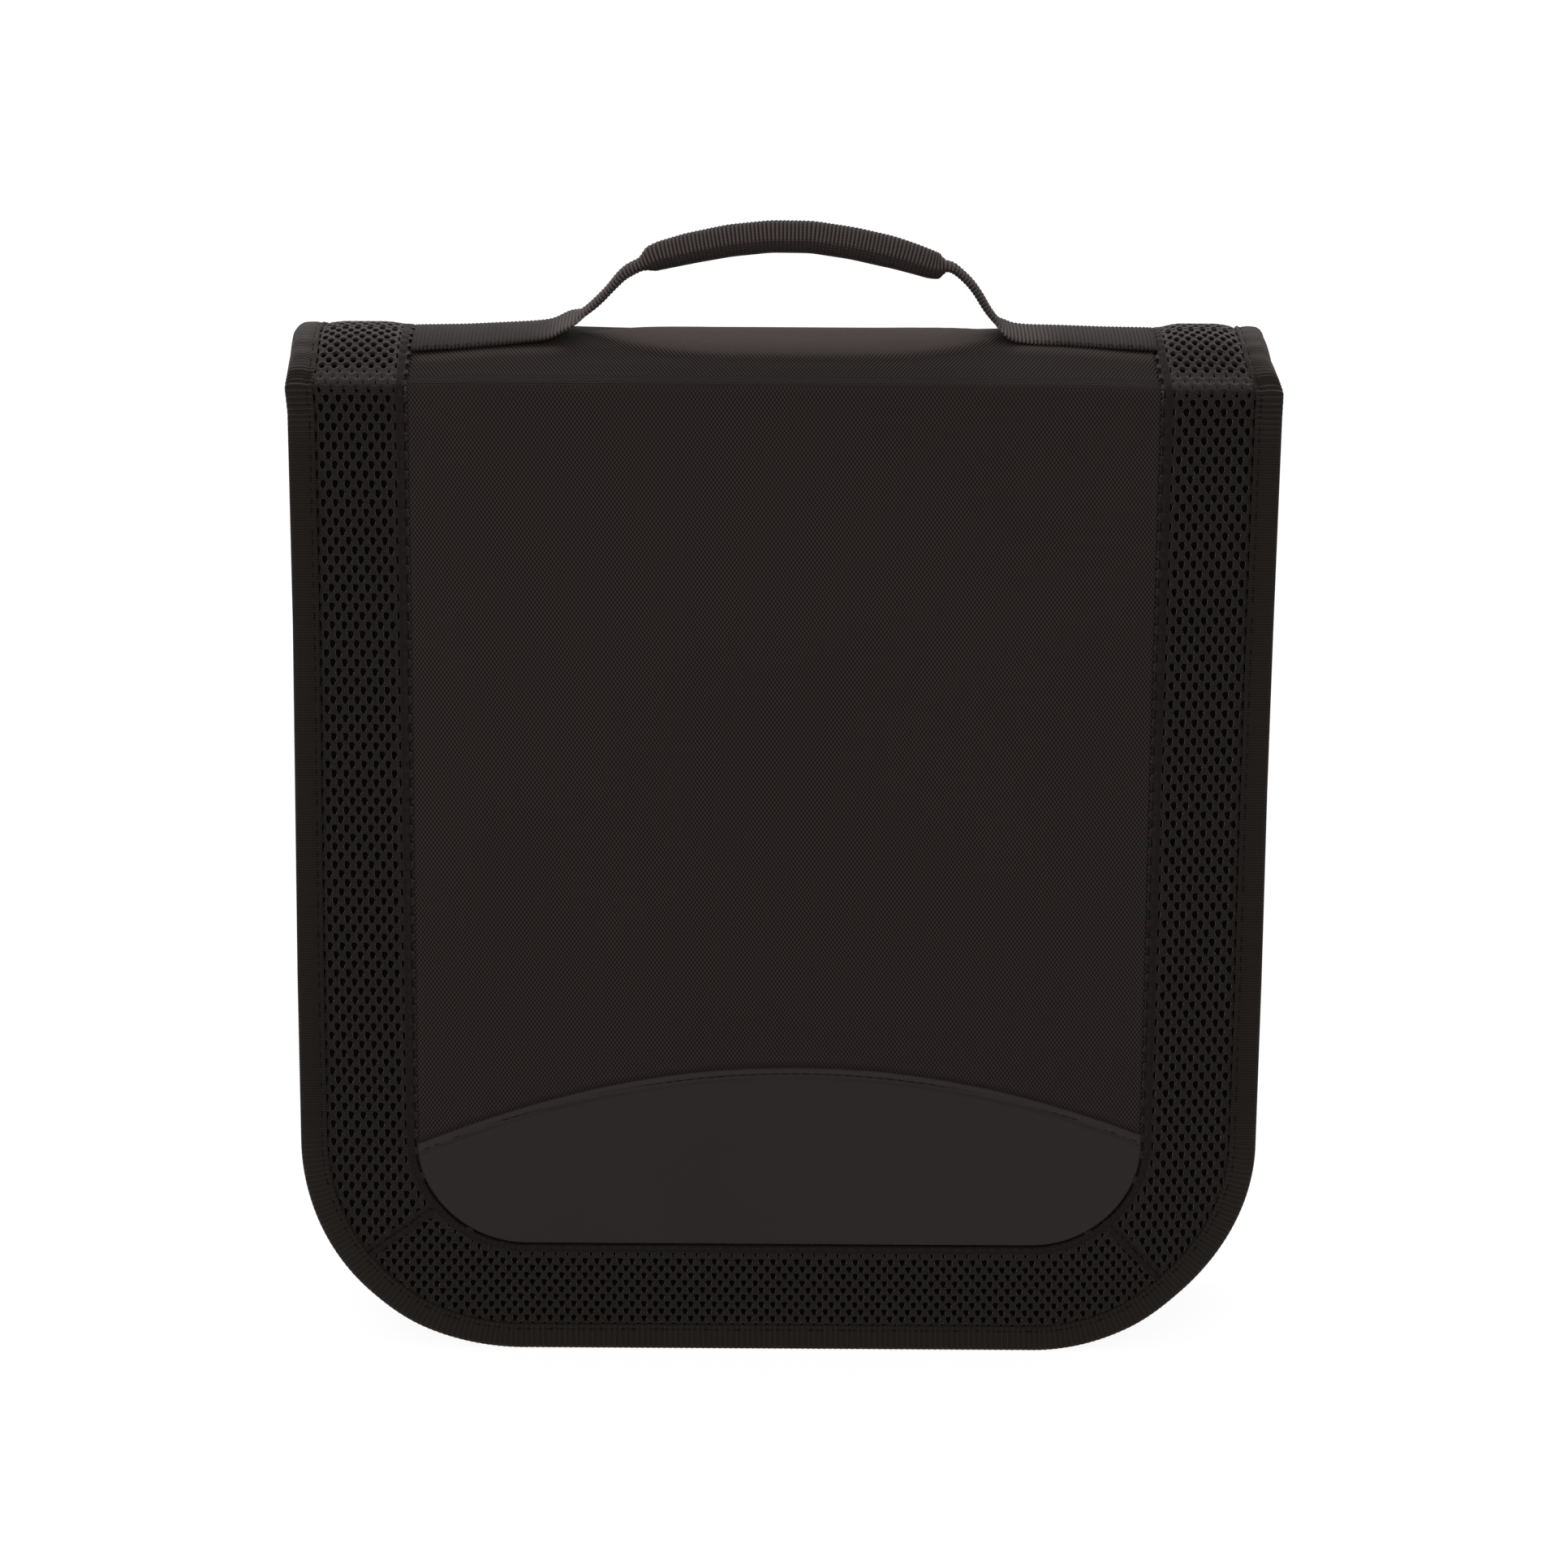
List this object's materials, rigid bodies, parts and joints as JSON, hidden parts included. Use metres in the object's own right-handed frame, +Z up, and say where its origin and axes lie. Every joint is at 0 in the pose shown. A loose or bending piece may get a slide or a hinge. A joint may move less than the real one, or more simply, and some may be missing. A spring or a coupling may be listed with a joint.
{
  "type": "zip-round disc wallet",
  "caption": "Black zip-round disc wallet standing on its edge, with mesh borders, a foot panel, a hinged spine and a webbing grip handle on top.",
  "frame": {"origin": "on the floor under the middle of the case, as it stands on the lower edges of its two covers", "axes": "+Z up to the spine and the handle, -Y out of the front cover, +X to the right of the front cover"},
  "size_m": [0.29, 0.075, 0.345],
  "materials": {
    "twill": "black nylon twill",
    "air_mesh": "black perforated air mesh",
    "grosgrain": "ribbed black tape and webbing",
    "leatherette": "smooth satin black leatherette",
    "board": "grey stiffening board",
    "lining": "plain black lining",
    "page_film": "soft translucent film on fleece",
    "zip_tape": "woven black zip tape",
    "nylon": "moulded black nylon",
    "black_nickel": "dark plated zinc alloy"
  },
  "bodies": {
    "spine": {"spine_board": "board", "spine_cover": "twill", "spine_lining": "lining", "spine_mesh_left": "air_mesh", "spine_mesh_right": "air_mesh", "spine_binding_left": "grosgrain", "spine_binding_right": "grosgrain", "handle_webbing": "grosgrain", "handle_core": "nylon", "page_anchor_strip": "lining", "disc_pages": "page_film", "zip_end_tab_left": "zip_tape", "zip_end_tab_right": "zip_tape"},
    "front_cover": {"front_board": "board", "front_lining": "lining", "front_twill_panel": "twill", "front_mesh_left": "air_mesh", "front_mesh_right": "air_mesh", "front_mesh_bottom": "air_mesh", "front_binding": "grosgrain", "front_side_wall": "twill", "front_zip_tape": "zip_tape", "front_zip_coil": "nylon", "front_foot_panel": "leatherette"},
    "back_cover": {"back_board": "board", "back_lining": "lining", "back_twill_panel": "twill", "back_mesh_left": "air_mesh", "back_mesh_right": "air_mesh", "back_mesh_bottom": "air_mesh", "back_binding": "grosgrain", "back_side_wall": "twill", "back_zip_tape": "zip_tape", "back_zip_coil": "nylon"},
    "slider": {"zip_slider": "black_nickel"},
    "pull": {"zip_pull": "black_nickel"}
  },
  "joints": [
    {"name": "front_cover_hinge", "type": "hinge", "parent": "spine", "child": "front_cover", "pos_m": [0, -0.0375, 0.303], "axis": [-1, 0, 0], "range_deg": [0, 125]},
    {"name": "back_cover_hinge", "type": "hinge", "parent": "spine", "child": "back_cover", "pos_m": [0, 0.0375, 0.303], "axis": [1, 0, 0], "range_deg": [0, 125]},
    {"name": "zip_slide", "type": "slide", "parent": "back_cover", "child": "slider", "axis": [0, 0, -1], "range_m": [0, 0.19]},
    {"name": "zip_pull_swing", "type": "hinge", "parent": "slider", "child": "pull", "pos_m": [0.13765, 0, 0.2715], "axis": [0, -1, 0], "range_deg": [0, 150]}
  ]
}
